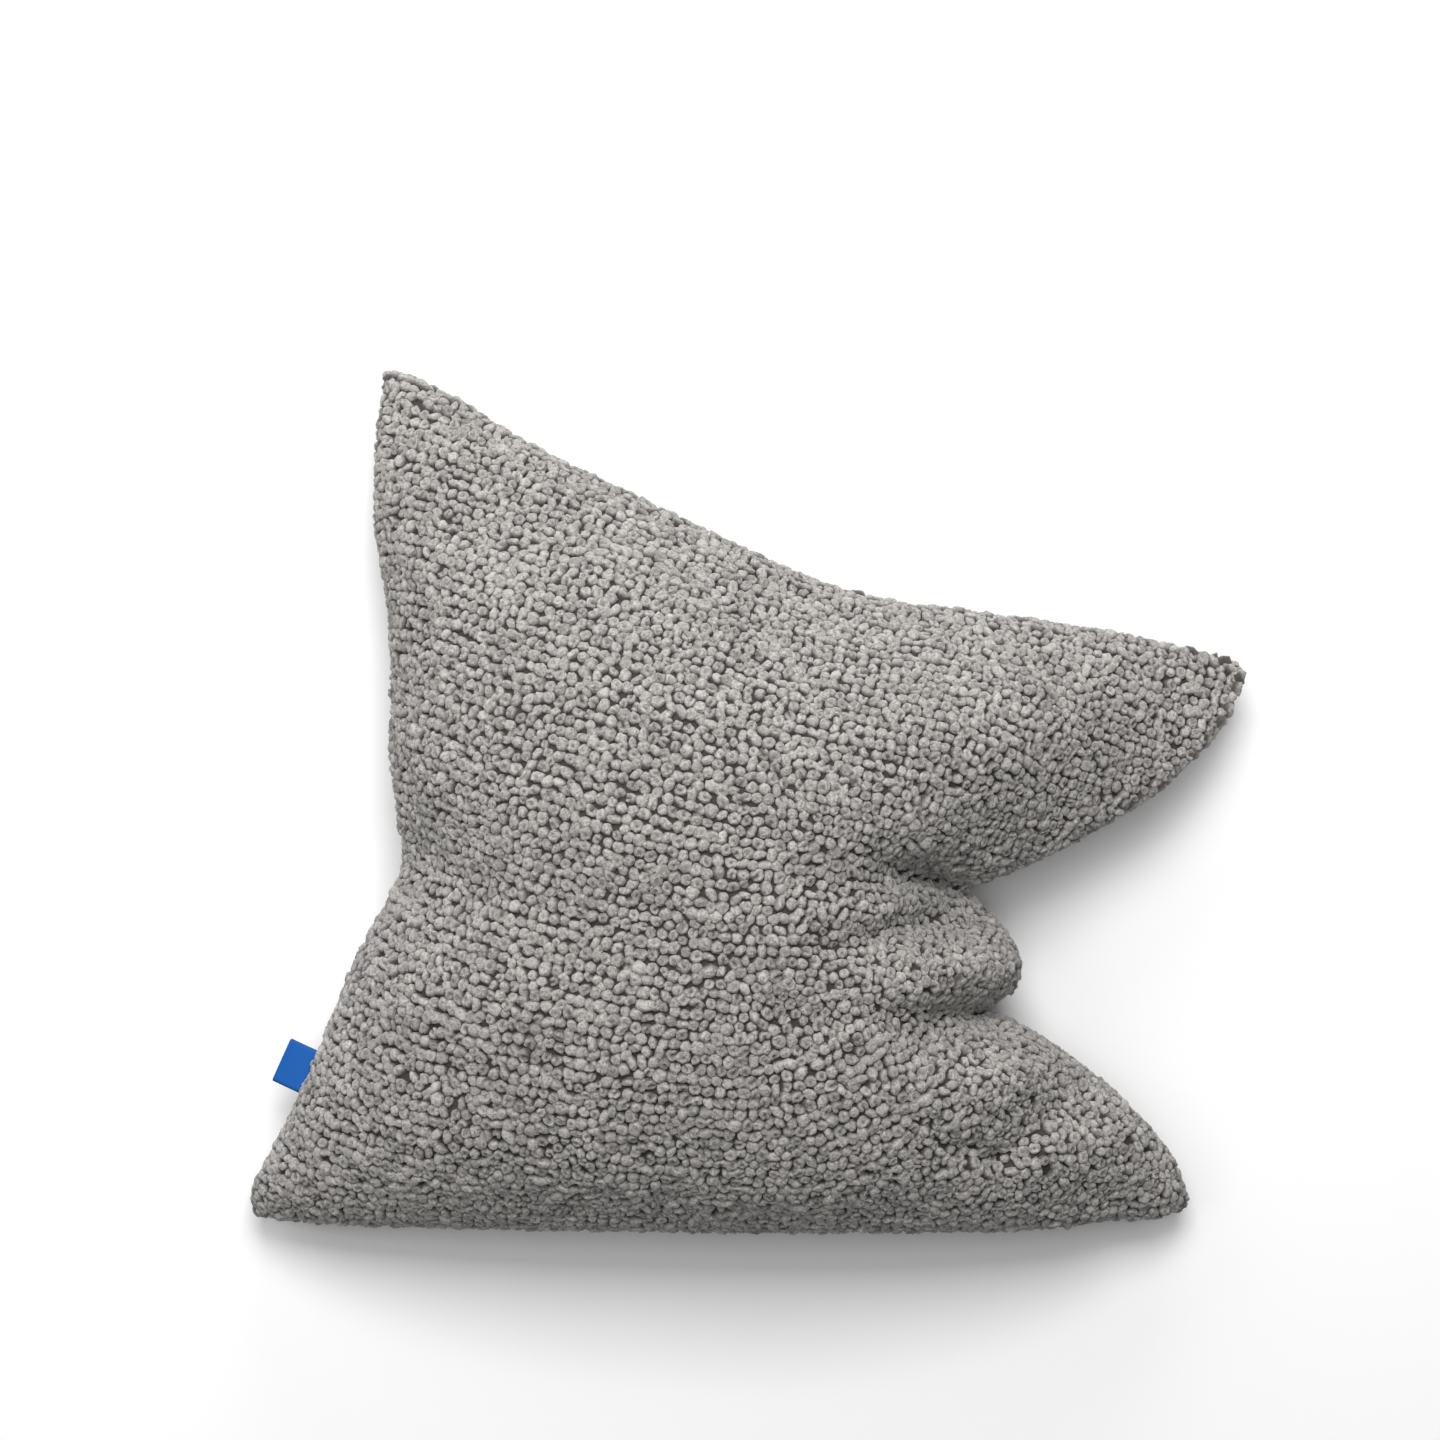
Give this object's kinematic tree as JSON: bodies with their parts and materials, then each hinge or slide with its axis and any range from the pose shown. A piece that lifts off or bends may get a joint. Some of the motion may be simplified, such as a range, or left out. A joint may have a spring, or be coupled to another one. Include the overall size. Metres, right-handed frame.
{
  "type": "boucle cushion",
  "caption": "Square filled boucle cushion, slouched with one upper corner folded forward over a tuck, lying on its back, with a small folded fabric tab in its side seam.",
  "frame": {"origin": "under the middle of the outline, on the surface that the back rests on", "axes": "+X from the left side to the right across the face, +Y from the lower side up the face, +Z out of the face"},
  "size_m": [0.5164, 0.4434, 0.163],
  "materials": {
    "boucle": "looped wool-blend boucle, warm light grey knobs over a dark grey ground",
    "tab": "plain blue woven tape with a soft sheen"
  },
  "bodies": {
    "root": {"cushion": "boucle", "tab": "tab"}
  },
  "joints": []
}
